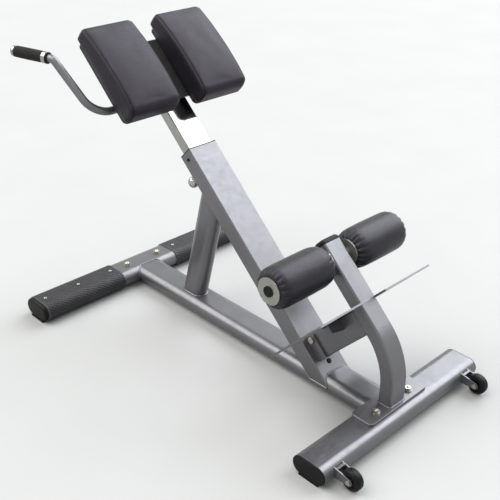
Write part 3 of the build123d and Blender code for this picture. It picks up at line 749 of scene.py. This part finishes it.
def roller_profile():
    """(distance, radius, gather) from one end to the other; gather is 1 where the cover is drawn in."""
    swell = 0.0004
    middle = [(t, 0.0537 + swell * math.sin(math.pi * (t - 0.043) / (ROLLER_LEN - 0.080)), 0.0)
              for t in np.linspace(0.050, ROLLER_LEN - 0.042, 26)]
    profile = [*INNER_END, *middle] + [(ROLLER_LEN - t, r, g) for t, r, g in reversed(OUTER_END)]
    # Finer rings by interpolation, so that the gathers are smooth.
    steps = np.linspace(0, len(profile) - 1, len(profile) * 3)
    return [np.interp(steps, np.arange(len(profile)), column) for column in zip(*profile)]


def roller_cover(side, sx):
    """Vinyl sleeve, gathered into radial folds over both ends."""
    ts, rs, gs = roller_profile()
    gather = {round(float(t), 7): float(g) for t, g in zip(ts, gs)}

    def cover(t, ang, r):
        g = gather[round(float(t), 7)]
        end = 1 if t > ROLLER_LEN / 2 else -1
        c, d = math.cos(ang), math.sin(ang)
        wobble = 0.9 * noise.noise(Vector((c * 2.2, d * 2.2, end * 5 + sx)))
        fold = math.cos(PUCKERS * ang + wobble * 2.2)
        fold = 1 - 2 * ((1 - fold) / 2) ** 2.2
        depth = 0.0021 * (0.75 + 0.5 * noise.noise(Vector((c * 3, d * 3, 9 + end * 3 + sx))))
        slack = 0.00025 * noise.noise(Vector((t * 28, c * 3.1, d * 3.1 + sx * 4)))
        away = float(smoothstep(0.032, 0.040, r))
        return r + g * depth * (fold - 0.9) * away + slack * away

    start = on_incline(sx * ROLLER_IN, ROLLER_S, ROLLER_N)
    profile = list(zip(ts, rs))
    tube = lathe(f"roller_cover_{side}", start, X_AXIS * sx, profile, M["roller"], ROLLER_SEGS, cover)
    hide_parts(f"ankle_roller_{side}")
    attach(tube, f"roller_{side}")


for side, sx in SIDES.items():
    roller_cover(side, sx)

# ---- foam grips ---------------------------------------------------------------------
GRIP_LEN, GRIP_R, GRIP_BORE = 0.112, 0.0155, 0.0113
COLLAR_SEAT = 0.0141
GRIP_SEGS = 72


def grip_profile():
    """(distance, radius): an end with the collar's seat cut into it, then the slightly swollen sleeve."""
    r = GRIP_R
    near = [(0.0004, GRIP_BORE), (0.0004, r - 0.0012), (0.0012, r - 0.0003), (0.003, r), (0.0044, r),
            (0.0050, r - 0.0008), (0.0055, COLLAR_SEAT), (0.0165, COLLAR_SEAT), (0.0172, r - 0.0008),
            (0.0185, r)]
    hold = [(t, r + 0.00035 * math.sin(math.pi * (t - 0.0185) / 0.092))
            for t in np.linspace(0.022, 0.1085, 30)]
    far = [(GRIP_LEN - 0.0015, r - 0.0002), (GRIP_LEN - 0.0003, r - 0.0012), (GRIP_LEN - 0.0002, GRIP_BORE)]
    return near + hold + far


def foam_grip(side, sx):
    pull = Vector((sx * 0.30, 0.95, 0.02)).normalized()
    start = on_incline(sx * 0.2727, 1.078, POST_N) + pull * 0.013

    def squeeze(t, ang, r):
        return r + 0.00018 * noise.noise(Vector((t * 90, math.cos(ang) * 1.5, math.sin(ang) * 1.5 + sx)))

    grip = lathe(f"foam_grip_{side}", start, pull, grip_profile(), M["foam"], GRIP_SEGS, squeeze)
    soften(grip, 50)
    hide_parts(f"grip_{side}")
    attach(grip, "carriage")


for side, sx in SIDES.items():
    foam_grip(side, sx)

# ---- tread sleeves: a raised lozenge pattern moulded on a flat-oval sleeve ----------
SLEEVE_IN, SLEEVE_OUT, SLEEVE_T = 0.105, 0.388, 0.0035
SLEEVE_R = TUBE_R + SLEEVE_T
SLEEVE_FLAT = TUBE_W - TUBE_H
SLEEVE_ROUND = 2 * SLEEVE_FLAT + 2 * math.pi * SLEEVE_R      # all the way round
LOZENGE_X, LOZENGE_U = 0.0140, SLEEVE_ROUND / 28
GROOVE_DEPTH = 0.0009
SCREW_X = (0.128, 0.248, 0.366)
SLEEVE_POINTS, SLEEVE_RINGS = 232, 196


def lozenge(x, u):
    """0 in the grooves, 1 on the flat of a lozenge."""
    a = (x / LOZENGE_X + u / LOZENGE_U) % 1.0
    b = (x / LOZENGE_X - u / LOZENGE_U) % 1.0
    edge = np.minimum(np.minimum(a, 1 - a), np.minimum(b, 1 - b))
    return smoothstep(0.07, 0.20, edge)


def round_sleeve(u):
    """At distance u round the flat oval: y of the section's arc centre, then the outward y and z."""
    arc = math.pi * SLEEVE_R
    half = SLEEVE_FLAT / 2
    if u < SLEEVE_FLAT:
        return u - half, 0.0, 1.0
    if u < SLEEVE_FLAT + arc:
        a = math.pi / 2 - (u - SLEEVE_FLAT) / SLEEVE_R
        return half, math.cos(a), math.sin(a)
    if u < 2 * SLEEVE_FLAT + arc:
        return half - (u - SLEEVE_FLAT - arc), 0.0, -1.0
    a = -math.pi / 2 - (u - 2 * SLEEVE_FLAT - arc) / SLEEVE_R
    return -half, math.cos(a), math.sin(a)


def tread_cover(side, sx):
    us = np.arange(SLEEVE_POINTS) * SLEEVE_ROUND / SLEEVE_POINTS
    centre, out_y, out_z = np.array([round_sleeve(u) for u in us]).T
    body = np.linspace(SLEEVE_IN + 0.004, SLEEVE_OUT - 0.004, SLEEVE_RINGS)
    xs = [SLEEVE_IN + 0.0002, SLEEVE_IN + 0.0012, *body, SLEEVE_OUT - 0.0012, SLEEVE_OUT - 0.0002]
    bore = np.full(SLEEVE_POINTS, TUBE_R + 0.0001)
    rings = [(xs[0], bore)]
    for x in xs:
        # Plain at both ends and round each screw's head.
        from_end = min(x - SLEEVE_IN, SLEEVE_OUT - x)
        plain = smoothstep(0.0, 0.007, from_end)
        for screw in SCREW_X:
            d = np.hypot(x - screw, centre + out_y * SLEEVE_R)
            plain = np.minimum(plain, np.where(out_z > 0.3, smoothstep(0.0075, 0.0105, d), 1.0))
        rad = SLEEVE_R - 0.0001 - GROOVE_DEPTH * (1 - lozenge(x, us)) * plain
        rings.append((x, rad - 0.0009 * (1 - smoothstep(0.0, 0.0012, from_end))))
    rings.append((xs[-1], bore))
    verts = []
    for x, rad in rings:
        ys, zs = HEAD_Y + centre + out_y * rad, BASE_MID + out_z * rad
        verts += [(sx * x, y, z) for y, z in zip(ys, zs)]
    n, last = SLEEVE_POINTS, (len(rings) - 1) * SLEEVE_POINTS
    faces = ring_faces(len(rings), n)
    faces += [(last + j, last + (j + 1) % n, (j + 1) % n, j) for j in range(n)]
    sleeve = add_mesh(f"tread_cover_{side}", verts, faces, M["tread"])
    soften(sleeve, 60)
    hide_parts(f"tread_sleeve_{side}")
    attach(sleeve, "frame")


for side, sx in SIDES.items():
    tread_cover(side, sx)

# ---- weld beads ---------------------------------------------------------------------
STRUT_LEAN = math.radians(13.7)
STRUT_W = 0.08
strut_axis = Vector((0, -math.sin(STRUT_LEAN), math.cos(STRUT_LEAN)))
strut_across = Vector((0, math.cos(STRUT_LEAN), math.sin(STRUT_LEAN)))
strut_start = Vector((0, FOOT_Y + 0.749, BASE_TOP)) - strut_axis * 0.06
for name, on_plane, plane_normal in (("foot", Vector((0, 0, BASE_TOP)), Z_AXIS),
                                     ("top", on_incline(0, 0, -TUBE_H), NORMAL)):
    bead([hit_plane(strut_start + strut_across * p + X_AXIS * q, strut_axis, on_plane, plane_normal)
          for p, q in slot_outline(STRUT_W, TUBE_H)], 0.0030, f"weld_strut_{name}", "frame")
bead([Vector((x, FOOT_Y + 0.004 + y, BASE_TOP + 0.008)) for x, y in rect_outline(0.06, 0.04, 0.006)],
     0.0027, "weld_upright_foot", "frame")


def onto_base(point, direction):
    """Where a line down the incline meets the main base tube's upper surface."""
    target = oval_top(point.x)
    return point + direction * ((target - point.z) / direction.z)


bead([onto_base(on_incline(x, 0.3, -TUBE_R + n), -ALONG)
      for x, n in rect_outline(TUBE_W, TUBE_H, 0.004, between=6)], 0.0028, "weld_incline_foot", "frame")
FLATTEST = 0.0246
for name, y, inward in (("foot", FOOT_Y, 1), ("head", HEAD_Y, -1)):
    loop = []
    for x, z in slot_outline(TUBE_W, TUBE_H, 24):
        z = max(-FLATTEST, min(FLATTEST, z))
        loop.append(Vector((x, y + inward * (TUBE_R + math.sqrt(TUBE_R ** 2 - z ** 2)), BASE_MID + z)))
    bead(loop, 0.0026, f"weld_base_{name}", "frame")
BRACE_W, BRACE_S = 0.05, 0.0755
for name, n, length, width in (("foot", 0.0062, 0.071, 0.0018), ("top", 0.2078, 0.0695, 0.0022)):
    bead([on_incline(x, BRACE_S + s, n) for x, s in rect_outline(BRACE_W, length, 0.004)],
         width, f"weld_brace_{name}", "frame")
HANDLE_R, HANDLE_S = 0.011, 0.893
for side, sx in SIDES.items():
    bead([on_incline(sx * 0.042, HANDLE_S + HANDLE_R * math.cos(a), POST_N + HANDLE_R * math.sin(a))
          for a in np.linspace(0, 2 * math.pi, 32, endpoint=False)],
         0.0022, f"weld_handle_{side}", "carriage")

# ---- floor and light ----------------------------------------------------------------
FLOOR_SIZE = 120
bpy.ops.mesh.primitive_plane_add(size=FLOOR_SIZE, location=(0, 0, 0))
floor = bpy.context.object
floor.name = "floor"
pale = Mat("floor_pale", (0.33, 0.33, 0.33), 0.0, 0.8)
pale.colour(pale.curve(pale.noise(3), [(0.3, (0.324, 0.321, 0.318)), (0.7, (0.334, 0.331, 0.328))]))
floor.data.materials.append(pale.m)

world = bpy.data.worlds.new("studio")
bpy.context.scene.world = world
world.use_nodes = True
sky = world.node_tree.nodes["Background"]
sky.inputs["Color"].default_value = (0.955, 1.0, 0.955, 1)
sky.inputs["Strength"].default_value = 0.95


def sun_light(name, towards, strength, angle, tint):
    """Broad soft lamp; towards points from the bench to it."""
    data = bpy.data.lights.new(name, "SUN")
    data.energy = strength
    data.angle = math.radians(angle)
    data.color = tint
    lamp = bpy.data.objects.new(name, data)
    bpy.context.scene.collection.objects.link(lamp)
    lamp.rotation_euler = (-Vector(towards)).to_track_quat("-Z", "Y").to_euler()


sun_light("key", (0.75, -0.02, 0.66), 4.3, 58, (0.90, 0.935, 1.0))
sun_light("back", (-0.42, 0.40, 0.80), 3.4, 60, (1.0, 0.98, 0.975))
bpy.context.scene.view_settings.view_transform = "Standard"
